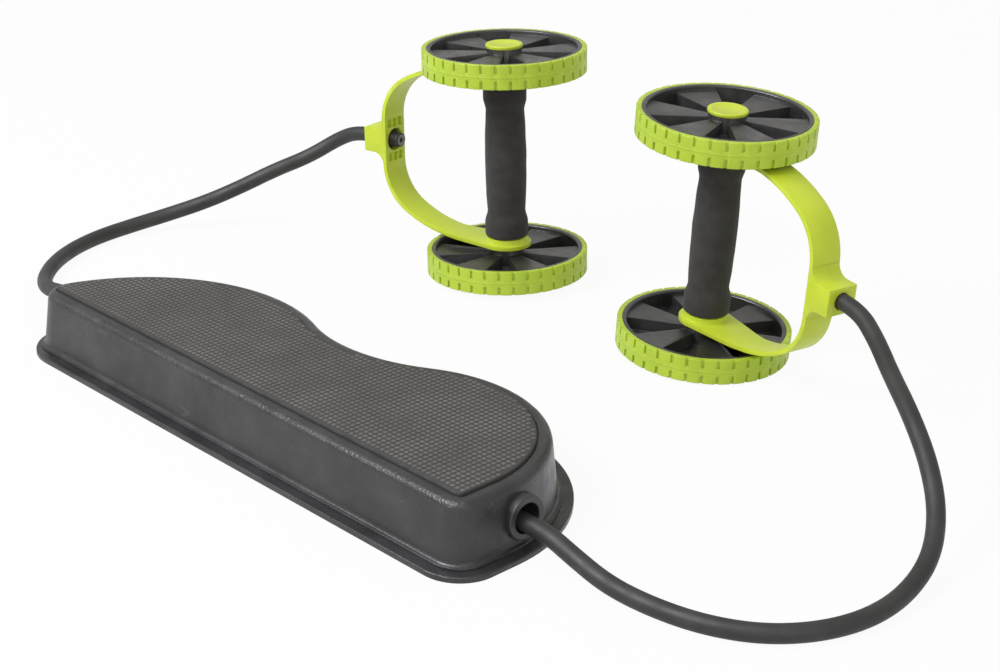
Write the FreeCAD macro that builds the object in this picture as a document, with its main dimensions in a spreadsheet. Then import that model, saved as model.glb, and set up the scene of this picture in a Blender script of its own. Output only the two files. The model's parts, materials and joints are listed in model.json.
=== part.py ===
import FreeCAD, Part
import math
import os
import re

import Sketcher
from FreeCAD import Placement, Rotation, Vector

# Driving sizes: lengths in millimetres, angles in degrees
SIZES = {
    # Foot pad outline: a straight front, a full right lobe, a waist and a flatter left lobe
    "pad_front": 51.5,
    "pad_right_end": 200,
    "pad_corner_radius": 4,
    "pad_end_straight": 20,
    "right_lobe_radius": 88,
    "left_lobe_radius": 117,
    "left_lobe_depth": 96.5,
    "waist_depth": 80,
    "waist_radius": 121.5,
    "pad_thickness": 3,
    "pad_recess": 0.8,
    "pad_clearance": 0.5,
    "pad_edge_round": 0.9,
    # Platform shell: the spreads are measured outwards from the pad outline
    "shell_height": 41.8,
    "wall_spread": 13.4,
    "left_corner_extra": 5.5,
    "wall_thickness": 3,
    "top_wall": 3,
    "draft_angle": 7,
    "top_edge_radius": 5.5,
    "ledge_spread": 15.2,
    "ledge_height": 5,
    "ledge_round": 0.6,
    "foot_fillet": 2.5,
    "flange_spread": 22.2,
    "flange_corner_extra": 11,
    "flange_thickness": 3.4,
    "flange_round": 1,
    "rib_thickness": 2.2,
    "rib_pitch": 43,
    "rib_row_pitch": 40,
    # Resistance tube and the bushes that lead it through the platform ends
    "tube_radius": 5.5,
    "tube_clearance": 0.3,
    "tube_lead": 16,
    "tube_line_back": 38,
    "right_tube_spread": 175,
    "left_tube_spread": 132,
    "boss_height": 21.2,
    "boss_radius": 13.5,
    "boss_length": 20,
    "bush_bore_radius": 9.1,
    "bush_wall": 1.4,
    "bush_flange_thickness": 1.4,
    "bush_round": 0.8,
    # Where each roller handle stands, and how far it leans towards its yoke
    "roller_spacing": 201,
    "roller_back": 275,
    "roller_lean": 3,
    "yoke_swing": 10,
    # Axle and grip
    "axle_radius": 4,
    "core_radius": 11,
    "journal_radius": 8,
    "foam_length": 116.6,
    "foam_end_radius": 16,
    "foam_neck_radius": 14.1,
    "foam_barrel_radius": 15.3,
    "foam_end_land": 11,
    "foam_neck_inset": 20,
    "foam_end_round": 2,
    "running_clearance": 0.05,
    "axial_play": 0.2,
    "washer_thickness": 1.6,
    "washer_radius": 10,
    # Yoke: a flat band bent to a C, with a ring at each end and a tube block in the middle
    "yoke_reach": 125,
    "yoke_band_width": 23.2,
    "yoke_band_thickness": 3,
    "yoke_sweep_run": 31.5,
    "yoke_sweep_radius": 103,
    "yoke_bend_radius": 40,
    "yoke_ring_radius": 18,
    "yoke_taper_end": 50,
    "collar_radius": 15,
    "collar_height": 4,
    "block_depth": 17.5,
    "block_height": 18.5,
    "block_flare_radius": 9,
    "seat_radius": 8.6,
    "seat_depth": 6,
    "cell_width": 4.6,
    "cell_height": 6.5,
    "cell_depth": 2.2,
    "cell_wall": 1.4,
    # Tube end and its plug
    "flare_radius": 8.2,
    "flare_length": 2.5,
    "tip_length": 3.5,
    "tip_round": 0.8,
    "plug_radius": 3.2,
    "plug_bore_radius": 2,
    "plug_head_radius": 4.2,
    "plug_head_length": 1.2,
    "plug_length": 24,
    # Wheels
    "wheel_width": 17.5,
    "tyre_radius": 60,
    "tyre_thickness": 3.5,
    "tyre_round": 0.5,
    "notch_width": 2.2,
    "notch_length": 6,
    "notch_depth": 1.4,
    "notch_count": 36,
    "rim_thickness": 3.2,
    "rim_round": 0.8,
    "hub_radius": 12.8,
    "hub_wall": 1.8,
    "hub_floor": 9.6,
    "upper_wheel_turn": 14,
    "lower_wheel_turn": 30,
    "panel_count": 6,
    "panel_angle": 31,
    "panel_inset": 3.5,
    "web_thickness": 1.8,
    "bearing_radius": 6,
    "cap_radius": 13.6,
    "cap_proud": 2.3,
    "cap_round": 0.9,
    "cap_rim": 3,
    "cap_dish": 0.4,
    "cap_spigot": 3,
    # Axle end screws and their washers
    "screw_radius": 2,
    "screw_length": 10,
    "screw_head_radius": 4,
    "screw_head_height": 2.4,
    "end_washer_radius": 7,
    "end_washer_thickness": 1.2,
    # Shared by every cut that runs out of a piece
    "overrun": 1,
}

# Free stretches of tube, chosen by hand, platform towards yoke: corners evenly spaced on the straight line
# between the two, each moved off it by shares of the tube's spread in x, y and z
RIGHT_ROUTE_SHARES = [
    (0.2093, -0.1085, -0.0534),
    (0.3546, -0.2118, -0.1125),
    (0.5256, -0.3009, -0.1437),
    (0.6995, -0.3608, -0.1679),
    (0.8476, -0.371, -0.1922),
    (0.9501, -0.327, -0.2165),
    (0.9954, -0.2515, -0.2407),
    (0.9806, -0.1588, -0.2621),
    (0.9317, -0.0776, -0.2521),
    (0.8427, -0.0364, -0.2021),
    (0.7194, -0.0294, -0.1349),
    (0.5618, -0.0282, -0.0735),
    (0.37, 0.0101, -0.052),
    (0.2238, 0.0171, -0.0306),
]
LEFT_ROUTE_SHARES = [
    (-0.3019, -0.1633, -0.0602),
    (-0.4842, -0.2812, -0.1364),
    (-0.6665, -0.3233, -0.1973),
    (-0.826, -0.2934, -0.2318),
    (-0.94, -0.2256, -0.2663),
    (-1.0011, -0.1427, -0.3008),
    (-0.9939, -0.0523, -0.3239),
    (-0.9186, 0.0155, -0.3205),
    (-0.7903, 0.0529, -0.2867),
    (-0.6543, 0.0676, -0.2303),
    (-0.5184, 0.0748, -0.1625),
    (-0.4128, 0.1236, -0.125),
    (-0.2693, 0.1004, -0.0383),
]

doc = FreeCAD.newDocument("foot_platform_and_rollers")
sheet = doc.addObject("Spreadsheet::Sheet", "Sizes")
for row, (alias, number) in enumerate(SIZES.items(), start=1):
    sheet.set(f"A{row}", alias)
    sheet.set(f"B{row}", str(number))
    sheet.setAlias(f"B{row}", alias)
doc.recompute()


def bound(words):
    """An expression in the sizes' plain names, with each name pointed at the sheet."""
    return re.sub(r"[a-z_]+", lambda m: f"Sizes.{m[0]}" if m[0] in SIZES else m[0], words)


def value(words):
    return float(sheet.evalExpression(bound(words)))


def bind(item, **settings):
    """Tie properties to expressions; a double underscore stands for a dot."""
    for name, words in settings.items():
        item.setExpression(name.replace("__", "."), bound(words))


def solid_box(name, low, size):
    """A box from its low corner and its three sides, all as expressions."""
    box = doc.addObject("Part::Box", name)
    bind(box, Length=size[0], Width=size[1], Height=size[2])
    bind(box, Placement__Base__x=low[0], Placement__Base__y=low[1], Placement__Base__z=low[2])
    return box


def solid_rod(name, radius, length, start, along_x=False):
    """A round rod along Z or X from the middle of its first end."""
    rod = doc.addObject("Part::Cylinder", name)
    if along_x:
        rod.Placement = Placement(Vector(), Rotation(Vector(0, 1, 0), 90))
    bind(rod, Radius=radius, Height=length)
    bind(rod, Placement__Base__x=start[0], Placement__Base__y=start[1], Placement__Base__z=start[2])
    return rod


def joined(name, pieces):
    fuse = doc.addObject("Part::MultiFuse", name)
    fuse.Shapes = pieces
    fuse.Refine = False
    return fuse


def cut(name, base, tool):
    result = doc.addObject("Part::Cut", name)
    result.Base = base
    result.Tool = tool
    result.Refine = False
    return result


def new_body(name):
    return doc.addObject("PartDesign::Body", name)


def plane_of(body, role):
    return next(p for p in body.Origin.OriginFeatures if p.Role == role)


def arc_between(start, end, radius, turns_left):
    """The shorter arc of a radius from start to end, turning left or right."""
    half = (end - start) * 0.5
    rise = math.sqrt(max(radius ** 2 - half.Length ** 2, 0))
    left = Vector(-half.y, half.x, 0).normalize()
    centre = start + half + left * (rise if turns_left else -rise)
    middle = centre + (start + half - centre).normalize() * radius
    return Part.Arc(start, middle, end)


def profile(body, name, plane, loops, lift="0"):
    """A sketch of closed loops whose corners are expressions.

    A corner is (x, y), or (x, y, radius, turn) where the edge to the next corner is an arc.
    """
    sketch = body.newObject("Sketcher::SketchObject", name)
    sketch.AttachmentSupport = [(plane_of(body, plane), "")]
    sketch.MapMode = "FlatFace"
    bind(sketch, AttachmentOffset__Base__z=lift)
    for loop in loops:
        corners = [Vector(value(c[0]), value(c[1]), 0) for c in loop]
        first = sketch.GeometryCount
        for i, corner in enumerate(loop):
            start = corners[i]
            end = corners[(i + 1) % len(loop)]
            if len(corner) == 2:
                sketch.addGeometry(Part.LineSegment(start, end))
            else:
                sketch.addGeometry(arc_between(start, end, value(corner[2]), corner[3] == "left"))
        for i, corner in enumerate(loop):
            edge = first + i
            # A right-hand arc is stored the other way round, so its ends swap
            swapped = len(corner) == 4 and corner[3] == "right"
            before = loop[i - 1]
            edge_before = first + (i - 1) % len(loop)
            end_before = 1 if len(before) == 4 and before[3] == "right" else 2
            start_here = 2 if swapped else 1
            joint = Sketcher.Constraint("Coincident", edge_before, end_before, edge, start_here)
            sketch.addConstraint(joint)
            across = ("DistanceX", corner[0], corners[i].x)
            upwards = ("DistanceY", corner[1], corners[i].y)
            for kind, words, number in (across, upwards):
                place = sketch.addConstraint(Sketcher.Constraint(kind, -1, 1, edge, start_here, number))
                sketch.setExpression(f"Constraints[{place}]", bound(words))
            if len(corner) == 4:
                place = sketch.addConstraint(Sketcher.Constraint("Radius", edge, value(corner[2])))
                sketch.setExpression(f"Constraints[{place}]", bound(corner[2]))
    return sketch


def pad(body, name, sketch, length, taper=None, both_ways=False):
    feature = body.newObject("PartDesign::Pad", name)
    feature.Profile = sketch
    feature.Midplane = both_ways
    bind(feature, Length=length)
    if taper:
        bind(feature, TaperAngle=taper)
    return feature


def turned(body, name, sketch, axis):
    """A full turn of a sketch about its own V_Axis or H_Axis."""
    feature = body.newObject("PartDesign::Revolution", name)
    feature.Profile = sketch
    feature.ReferenceAxis = (sketch, [axis])
    feature.Angle = 360
    return feature


def rounded(body, name, base, edges, radius):
    doc.recompute()
    feature = body.newObject("PartDesign::Fillet", name)
    feature.Base = (base, [f"Edge{i}" for i, e in enumerate(base.Shape.Edges, start=1) if edges(e)])
    bind(feature, Radius=radius)
    return feature


def level(height):
    """Picks the edges that lie flat at a height."""
    z = value(height)
    near = value("overrun") / 1000
    return lambda e: abs(e.BoundBox.ZMin - z) < near and abs(e.BoundBox.ZMax - z) < near


def polar(body, name, feature, count):
    pattern = body.newObject("PartDesign::PolarPattern", name)
    pattern.Originals = [feature]
    pattern.Axis = (next(a for a in body.Origin.OriginFeatures if a.Role == "Z_Axis"), [""])
    pattern.Angle = 360
    pattern.Refine = False
    bind(pattern, Occurrences=count)
    body.Tip = pattern
    return pattern


nodes = {}


def node(name, item):
    """Name a finished piece, so that it is checked and written out."""
    item.Label = name
    nodes[name] = item


def placed(name, source, placement):
    """A copy of a piece at its own place."""
    copy = doc.addObject("Part::Compound", name)
    copy.Links = [source]
    copy.Placement = placement
    return copy


# Pad outline, about the middle of the pad: each round is tangent to the next one
FRONT = "(0 - pad_front)"
CORNER_Y = f"({FRONT} + pad_corner_radius)"
RIGHT_X = "(pad_right_end - right_lobe_radius)"
RIGHT_Y = f"({CORNER_Y} + pad_end_straight)"
WAIST_Y = f"({FRONT} + waist_depth + waist_radius)"
RIGHT_SPAN = "(right_lobe_radius + waist_radius)"
WAIST_X = f"({RIGHT_X} - sqrt({RIGHT_SPAN}^2 - ({WAIST_Y} - {RIGHT_Y})^2))"
LEFT_Y = f"({FRONT} + left_lobe_depth - left_lobe_radius)"
LEFT_SPAN = "(left_lobe_radius + waist_radius)"
LEFT_X = f"({WAIST_X} - sqrt({LEFT_SPAN}^2 - ({WAIST_Y} - {LEFT_Y})^2))"


def outline(spread, extra="0"):
    """The pad outline moved outwards by a spread: front, right end and lobe, waist, left lobe and corner.

    The extra is added to the radius of the left front corner.
    """
    end_x = f"(pad_right_end + {spread})"
    low_y = f"({FRONT} - ({spread}))"
    corner = f"(pad_corner_radius + {spread})"
    right = f"(right_lobe_radius + {spread})"
    left = f"(left_lobe_radius + {spread})"
    corner_y = f"({CORNER_Y} + {extra})"
    corner_span = f"(left_lobe_radius - pad_corner_radius - {extra})"
    corner_x = f"({LEFT_X} - sqrt({corner_span}^2 - ({corner_y} - {LEFT_Y})^2))"
    return [
        (corner_x, low_y),
        ("(pad_right_end - pad_corner_radius)", low_y, corner, "left"),
        (end_x, CORNER_Y),
        (end_x, RIGHT_Y, right, "left"),
        (f"{RIGHT_X} + {right} * ({WAIST_X} - {RIGHT_X}) / {RIGHT_SPAN}",
         f"{RIGHT_Y} + {right} * ({WAIST_Y} - {RIGHT_Y}) / {RIGHT_SPAN}",
         f"waist_radius - ({spread})", "right"),
        (f"{LEFT_X} + {left} * ({WAIST_X} - {LEFT_X}) / {LEFT_SPAN}",
         f"{LEFT_Y} + {left} * ({WAIST_Y} - {LEFT_Y}) / {LEFT_SPAN}", left, "left"),
        (f"{LEFT_X} + {left} * ({corner_x} - {LEFT_X}) / {corner_span}",
         f"{LEFT_Y} + {left} * ({corner_y} - {LEFT_Y}) / {corner_span}", f"{corner} + {extra}", "left"),
    ]


def shell_outline(spread):
    """The outline of the shell, whose left front corner is rounder than the pad's."""
    return outline(spread, "left_corner_extra")


# Tube line through the platform, and the faces of the bosses that the tube leaves by
TUBE_Y = f"({FRONT} + tube_line_back)"
BOSS_LOW = f"({TUBE_Y} - boss_radius)"
RIGHT_FACE = f"({RIGHT_X} + sqrt((right_lobe_radius + wall_spread)^2 - ({BOSS_LOW} - {RIGHT_Y})^2))"
LEFT_FACE = f"({LEFT_X} - sqrt((left_lobe_radius + wall_spread)^2 - ({BOSS_LOW} - {LEFT_Y})^2))"
RIGHT_EXIT = f"({RIGHT_FACE} + bush_flange_thickness)"
LEFT_EXIT = f"({LEFT_FACE} - bush_flange_thickness)"
TUBE_Z = "(boss_height - bush_bore_radius + tube_radius + tube_clearance)"
SLEEVE_RADIUS = "(bush_bore_radius + bush_wall)"
PAD_FLOOR = "(shell_height - pad_recess)"


def platform_skin():
    """The outside of the shell as one full block, with its flange, ledge and pad recess."""
    body = new_body("platform_skin")
    rim = outline("flange_spread", "flange_corner_extra")
    flange = pad(body, "flange", profile(body, "flange_line", "XY_Plane", [rim]), "flange_thickness")
    flange = rounded(body, "flange_edge", flange, level("flange_thickness"), "flange_round")
    ledge = pad(body, "ledge", profile(body, "ledge_line", "XY_Plane", [shell_outline("ledge_spread")]),
                "ledge_height")
    ledge = rounded(body, "ledge_edge", ledge, level("ledge_height"), "ledge_round")
    wall = pad(body, "wall", profile(body, "wall_line", "XY_Plane", [shell_outline("wall_spread")]),
               "shell_height", "0 - draft_angle")
    wall = rounded(body, "wall_foot", wall, foot_of(wall), "foot_fillet")
    wall = rounded(body, "top_edge", wall, level("shell_height"), "top_edge_radius")
    recess = body.newObject("PartDesign::Pocket", "pad_seat")
    recess.Profile = profile(body, "pad_seat_line", "XY_Plane", [outline("pad_clearance")], "shell_height")
    bind(recess, Length="pad_recess")
    return body


def foot_of(wall):
    """Picks the edges where the sloped wall meets the ledge, not the ledge's own rim."""
    above = value("ledge_height + overrun")

    def picked(edge):
        faces = wall.Shape.ancestorsOfType(edge, Part.Face)
        return level("ledge_height")(edge) and any(face.BoundBox.ZMax > above for face in faces)
    return picked


def platform_shell():
    skin = platform_skin()
    hollow = new_body("platform_hollow")
    inside = shell_outline("(wall_spread - wall_thickness)")
    pad(hollow, "hollow", profile(hollow, "hollow_line", "XY_Plane", [inside]),
        f"{PAD_FLOOR} - top_wall", "0 - draft_angle")

    half_length = "(pad_right_end + flange_spread)"
    depth = f"({RIGHT_Y} + right_lobe_radius - {FRONT} + 2 * flange_spread)"
    ribs = []
    reach = int(value(f"{half_length} / rib_pitch"))
    for i in range(-reach, reach + 1):
        low = (f"{i} * rib_pitch - rib_thickness / 2", f"{FRONT} - flange_spread", "0")
        ribs.append(solid_box(f"cross_rib_{i + reach}", low, ("rib_thickness", depth, "shell_height")))
    for i, row_share in enumerate((-0.5, 0.5, 1.5)):
        low = (f"0 - {half_length}", f"{TUBE_Y} + {row_share} * rib_row_pitch - rib_thickness / 2", "0")
        ribs.append(solid_box(f"long_rib_{i}", low, (f"2 * {half_length}", "rib_thickness", "shell_height")))

    bosses = []
    bores = [solid_rod("tube_way", "tube_radius + tube_clearance", f"{RIGHT_EXIT} - {LEFT_EXIT}",
                       (LEFT_EXIT, TUBE_Y, TUBE_Z), along_x=True)]
    for side, start in (("left", LEFT_FACE), ("right", f"{RIGHT_FACE} - boss_length")):
        base = (start, TUBE_Y, "boss_height")
        bosses.append(solid_rod(f"{side}_boss", "boss_radius", "boss_length", base, along_x=True))
        bores.append(solid_rod(f"{side}_bush_bore", SLEEVE_RADIUS, "boss_length", base, along_x=True))
    cells = cut("platform_cells", hollow, joined("ribs_and_bosses", ribs + bosses))
    shell = cut("shell_with_cells", joined("skin_and_bosses", [skin] + bosses), cells)
    node("platform_shell", cut("platform_shell", shell, joined("tube_bores", bores)))


def foot_pad():
    body = new_body("foot_pad")
    line = profile(body, "slab_line", "XY_Plane", [outline("0")], PAD_FLOOR)
    slab = pad(body, "slab", line, "pad_thickness")
    rounded(body, "slab_edge", slab, level(f"{PAD_FLOOR} + pad_thickness"), "pad_edge_round")
    node("foot_pad", body)


def tube_bushes():
    """A flanged sleeve in each boss; the tube lies on the bottom of both."""
    body = new_body("tube_bush")
    turned(body, "bush", profile(body, "bush_line", "XZ_Plane", [[
        ("0 - boss_length", "bush_bore_radius"),
        ("bush_flange_thickness - bush_round", "bush_bore_radius", "bush_round", "left"),
        ("bush_flange_thickness", "bush_bore_radius + bush_round"),
        ("bush_flange_thickness", "boss_radius - bush_round", "bush_round", "left"),
        ("bush_flange_thickness - bush_round", "boss_radius"),
        ("0", "boss_radius"),
        ("0", SLEEVE_RADIUS),
        ("0 - boss_length", SLEEVE_RADIUS),
    ]]), "H_Axis")
    for name, face, turn in (("right_tube_bush", RIGHT_FACE, 0), ("left_tube_bush", LEFT_FACE, 180)):
        seat = Vector(value(face), value(TUBE_Y), value("boss_height"))
        node(name, placed(name, body, Placement(seat, Rotation(Vector(0, 0, 1), turn))))
    node("inner_tube", solid_rod("inner_tube", "tube_radius", f"{RIGHT_EXIT} - {LEFT_EXIT}",
                                 (LEFT_EXIT, TUBE_Y, TUBE_Z), along_x=True))


# Roller handle stack, measured from the middle of the grip along the axle
GRIP_HALF = "(foam_length / 2)"
COLLAR_IN = f"({GRIP_HALF} + axial_play)"
RING_IN = f"({COLLAR_IN} + collar_height)"
RING_OUT = f"({RING_IN} + yoke_band_thickness)"
JOURNAL_END = f"({RING_OUT} + axial_play)"
WASHER_END = f"({JOURNAL_END} + washer_thickness)"
WHEEL_IN = f"({WASHER_END} + axial_play)"
WHEEL_OUT = f"({WHEEL_IN} + wheel_width)"
AXLE_END = f"({WHEEL_IN} + hub_floor + axial_play)"
RIM_RADIUS = "(tyre_radius - tyre_thickness)"
RIM_INNER = f"({RIM_RADIUS} - rim_thickness)"
HUB_BORE = "(hub_radius - hub_wall)"
BAND_BACK = "(yoke_reach - block_depth)"
BAND_INNER = f"({BAND_BACK} - yoke_band_thickness)"
SEAT_FLOOR = f"({BAND_INNER} + seat_depth)"
FLARE_END = f"({BAND_INNER} - flare_length)"
TUBE_TIP = f"({FLARE_END} - tip_length)"


def axle():
    body = new_body("axle")
    hole = f"({AXLE_END} - screw_length)"
    turned(body, "rod", profile(body, "rod_line", "XZ_Plane", [[
        ("0", f"0 - {hole}"),
        ("screw_radius", f"0 - {hole}"),
        ("screw_radius", f"0 - {AXLE_END}"),
        ("axle_radius", f"0 - {AXLE_END}"),
        ("axle_radius", AXLE_END),
        ("screw_radius", AXLE_END),
        ("screw_radius", hole),
        ("0", hole),
    ]]), "V_Axis")
    return body


def grip_core():
    body = new_body("grip_core")
    turned(body, "core", profile(body, "core_line", "XZ_Plane", [[
        ("axle_radius", f"0 - {JOURNAL_END}"),
        ("journal_radius", f"0 - {JOURNAL_END}"),
        ("journal_radius", f"0 - {GRIP_HALF}"),
        ("core_radius", f"0 - {GRIP_HALF}"),
        ("core_radius", GRIP_HALF),
        ("journal_radius", GRIP_HALF),
        ("journal_radius", JOURNAL_END),
        ("axle_radius", JOURNAL_END),
    ]]), "V_Axis")
    return body


def foam_grip():
    """A foam sleeve with flared ends, a neck inside each flare and a full middle."""
    body = new_body("foam_grip")
    neck = f"({GRIP_HALF} - foam_neck_inset)"
    land = f"({GRIP_HALF} - foam_end_land)"
    edge = f"({GRIP_HALF} - foam_end_round)"
    inside = "(foam_end_radius - foam_end_round)"
    swell = "(foam_barrel_radius - foam_neck_radius)"
    barrel = f"({neck}^2 + {swell}^2) / (2 * {swell})"
    turned(body, "sleeve", profile(body, "sleeve_line", "XZ_Plane", [[
        ("core_radius", f"0 - {GRIP_HALF}"),
        (inside, f"0 - {GRIP_HALF}", "foam_end_round", "left"),
        ("foam_end_radius", f"0 - {edge}"),
        ("foam_end_radius", f"0 - {land}"),
        ("foam_neck_radius", f"0 - {neck}", barrel, "left"),
        ("foam_neck_radius", neck),
        ("foam_end_radius", land),
        ("foam_end_radius", edge, "foam_end_round", "left"),
        (inside, GRIP_HALF),
        ("core_radius", GRIP_HALF),
    ]]), "V_Axis")
    return body


def yoke_side():
    """The C of the yoke seen from the side, with the tube block in the middle of its back.

    Each arm runs straight out of its ring, sweeps in gently and then bends to the back.
    """
    straight = f"({BAND_BACK} - yoke_bend_radius - yoke_sweep_run)"
    sweep_z = f"({RING_OUT} - yoke_sweep_radius)"
    span = "(yoke_sweep_radius - yoke_bend_radius)"
    share_x = f"(yoke_sweep_run / {span})"
    share_z = f"sqrt(1 - {share_x}^2)"
    bend_z = f"({sweep_z} + {span} * {share_z})"
    turn_x = f"({straight} + yoke_sweep_radius * {share_x})"
    turn_z = f"({sweep_z} + yoke_sweep_radius * {share_z})"
    inside_x = f"({turn_x} - yoke_band_thickness * {share_x})"
    inside_z = f"({turn_z} - yoke_band_thickness * {share_z})"
    inside_sweep = "yoke_sweep_radius - yoke_band_thickness"
    inside_bend = "yoke_bend_radius - yoke_band_thickness"
    half = "(block_height / 2)"
    flare_end = f"({half} + block_flare_radius)"
    flare_start = f"({BAND_BACK} + block_flare_radius)"
    ring = "(0 - yoke_ring_radius)"
    return [
        (ring, f"0 - {RING_OUT}"),
        (straight, f"0 - {RING_OUT}", "yoke_sweep_radius", "left"),
        (turn_x, f"0 - {turn_z}", "yoke_bend_radius", "left"),
        (BAND_BACK, f"0 - {bend_z}"),
        (BAND_BACK, f"0 - {flare_end}", "block_flare_radius", "right"),
        (flare_start, f"0 - {half}"),
        ("yoke_reach", f"0 - {half}"),
        ("yoke_reach", half),
        (flare_start, half, "block_flare_radius", "right"),
        (BAND_BACK, flare_end),
        (BAND_BACK, bend_z, "yoke_bend_radius", "left"),
        (turn_x, turn_z, "yoke_sweep_radius", "left"),
        (straight, RING_OUT),
        (ring, RING_OUT),
        (ring, RING_IN),
        (straight, RING_IN, inside_sweep, "right"),
        (inside_x, inside_z, inside_bend, "right"),
        (BAND_INNER, bend_z),
        (BAND_INNER, f"0 - {bend_z}", inside_bend, "right"),
        (inside_x, f"0 - {inside_z}", inside_sweep, "right"),
        (straight, f"0 - {RING_IN}"),
        (ring, f"0 - {RING_IN}"),
    ]


def yoke_plan():
    """The yoke seen along the axle: a ring that narrows to the band."""
    half = "(yoke_band_width / 2)"
    distance = f"sqrt(yoke_taper_end^2 + {half}^2)"
    angle = f"(atan({half} / yoke_taper_end) + acos(yoke_ring_radius / {distance}))"
    touch_x = f"yoke_ring_radius * cos({angle})"
    touch_y = f"(yoke_ring_radius * sin({angle}))"
    return [
        (touch_x, touch_y, "yoke_ring_radius", "left"),
        ("0 - yoke_ring_radius", "0", "yoke_ring_radius", "left"),
        (touch_x, f"0 - {touch_y}"),
        ("yoke_taper_end", f"0 - {half}"),
        ("yoke_reach + overrun", f"0 - {half}"),
        ("yoke_reach + overrun", half),
        ("yoke_taper_end", half),
    ]


def yoke():
    side = new_body("yoke_side")
    pad(side, "c_shape", profile(side, "c_line", "XZ_Plane", [yoke_side()]),
        "2 * yoke_ring_radius", both_ways=True)
    plan = new_body("yoke_plan")
    pad(plan, "plan", profile(plan, "plan_line", "XY_Plane", [yoke_plan()]),
        f"2 * {RING_OUT} + 2 * overrun", both_ways=True)
    band = doc.addObject("Part::MultiCommon", "yoke_band")
    band.Shapes = [side, plan]
    collars = [
        solid_rod("upper_collar", "collar_radius", "collar_height", ("0", "0", COLLAR_IN)),
        solid_rod("lower_collar", "collar_radius", "collar_height", ("0", "0", f"0 - {RING_IN}")),
    ]
    behind = f"({BAND_INNER} - overrun)"
    holes = [
        solid_rod("journal_bore", "journal_radius + running_clearance", f"2 * {RING_OUT} + 2 * overrun",
                  ("0", "0", f"0 - {RING_OUT} - overrun")),
        solid_rod("tube_bore", "tube_radius + tube_clearance", f"yoke_reach + overrun - {behind}",
                  (behind, "0", "0"), along_x=True),
        solid_rod("tube_seat", "seat_radius", "seat_depth + overrun", (behind, "0", "0"), along_x=True),
    ]
    step = "(cell_width + cell_wall)"
    rise = "(seat_radius + cell_wall)"
    for column in (-1, 0, 1):
        across = f"{column} * {step} - cell_width / 2"
        for name, low in (("upper", rise), ("lower", f"0 - {rise} - cell_height")):
            holes.append(solid_box(f"{name}_cell_{column + 1}", (behind, across, low),
                                   ("cell_depth + overrun", "cell_width", "cell_height")))
    return cut("yoke", joined("band_and_collars", [band] + collars), joined("yoke_holes", holes))


def tube_end():
    """The end of the tube, spread by its plug so that it can't pull back through the block."""
    body = new_body("tube_end")
    turned(body, "end", profile(body, "end_line", "XZ_Plane", [[
        (TUBE_TIP, "plug_head_radius"),
        (f"{TUBE_TIP} + plug_head_length", "plug_head_radius"),
        (f"{TUBE_TIP} + plug_head_length", "plug_radius"),
        (f"{TUBE_TIP} + plug_length", "plug_radius"),
        (f"{TUBE_TIP} + plug_length", "0"),
        ("yoke_reach", "0"),
        ("yoke_reach", "tube_radius"),
        (SEAT_FLOOR, "tube_radius"),
        (SEAT_FLOOR, "flare_radius"),
        (FLARE_END, "tube_radius"),
        (f"{TUBE_TIP} + tip_round", "tube_radius", "tip_round", "left"),
        (TUBE_TIP, "tube_radius - tip_round"),
    ]]), "H_Axis")
    return body


def tube_plug():
    body = new_body("tube_plug")
    turned(body, "plug", profile(body, "plug_line", "XZ_Plane", [[
        (TUBE_TIP, "plug_bore_radius"),
        (f"{TUBE_TIP} + plug_length", "plug_bore_radius"),
        (f"{TUBE_TIP} + plug_length", "plug_radius"),
        (f"{TUBE_TIP} + plug_head_length", "plug_radius"),
        (f"{TUBE_TIP} + plug_head_length", "plug_head_radius"),
        (TUBE_TIP, "plug_head_radius"),
    ]]), "H_Axis")
    return body


def wheel():
    """Rim, hub and a web folded into raised panels and wells, with the inner face at zero height."""
    body = new_body("wheel")
    rim = [
        (f"{RIM_INNER} + rim_round", "0"),
        (RIM_RADIUS, "0"),
        (RIM_RADIUS, "wheel_width"),
        (f"{RIM_INNER} + rim_round", "wheel_width"),
        (RIM_INNER, "wheel_width - rim_round"),
        (RIM_INNER, "wheel_width - panel_inset"),
        ("hub_radius", "wheel_width - panel_inset"),
        ("hub_radius", "wheel_width"),
        (HUB_BORE, "wheel_width"),
        (HUB_BORE, "hub_floor"),
        ("bearing_radius", "hub_floor"),
        ("bearing_radius", "0"),
        ("hub_radius", "0"),
        ("hub_radius", "panel_inset"),
        (RIM_INNER, "panel_inset"),
        (RIM_INNER, "rim_round"),
    ]
    turned(body, "disc", profile(body, "disc_line", "XZ_Plane", [rim]), "V_Axis")

    def well(name, half_angle, middle, height, upwards):
        """Sinks a well into the disc between two spokes, and repeats it round the hub."""
        wall = "(web_thickness / 2)"

        def corner(radius, sign):
            angle = f"({middle} * 1 deg + {sign} * ({half_angle} * 1 deg - asin({wall} / {radius})))"
            return f"{radius} * cos({angle})", f"{radius} * sin({angle})"

        line = profile(body, f"{name}_line", "XY_Plane", [[
            (*corner("hub_radius", -1),),
            (*corner(RIM_INNER, -1), RIM_INNER, "left"),
            (*corner(RIM_INNER, 1),),
            (*corner("hub_radius", 1), "hub_radius", "right"),
        ]], height)
        sunk = body.newObject("PartDesign::Pocket", name)
        sunk.Profile = line
        sunk.Reversed = upwards
        bind(sunk, Length="wheel_width - 2 * panel_inset - web_thickness")
        polar(body, f"{name}s", sunk, "panel_count")

    pitch = "(360 / panel_count)"
    well("outer_well", f"(({pitch} - panel_angle) / 2)", "0", "wheel_width - panel_inset", False)
    well("inner_well", "(panel_angle / 2)", f"({pitch} / 2)", "panel_inset", True)
    return body


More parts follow.
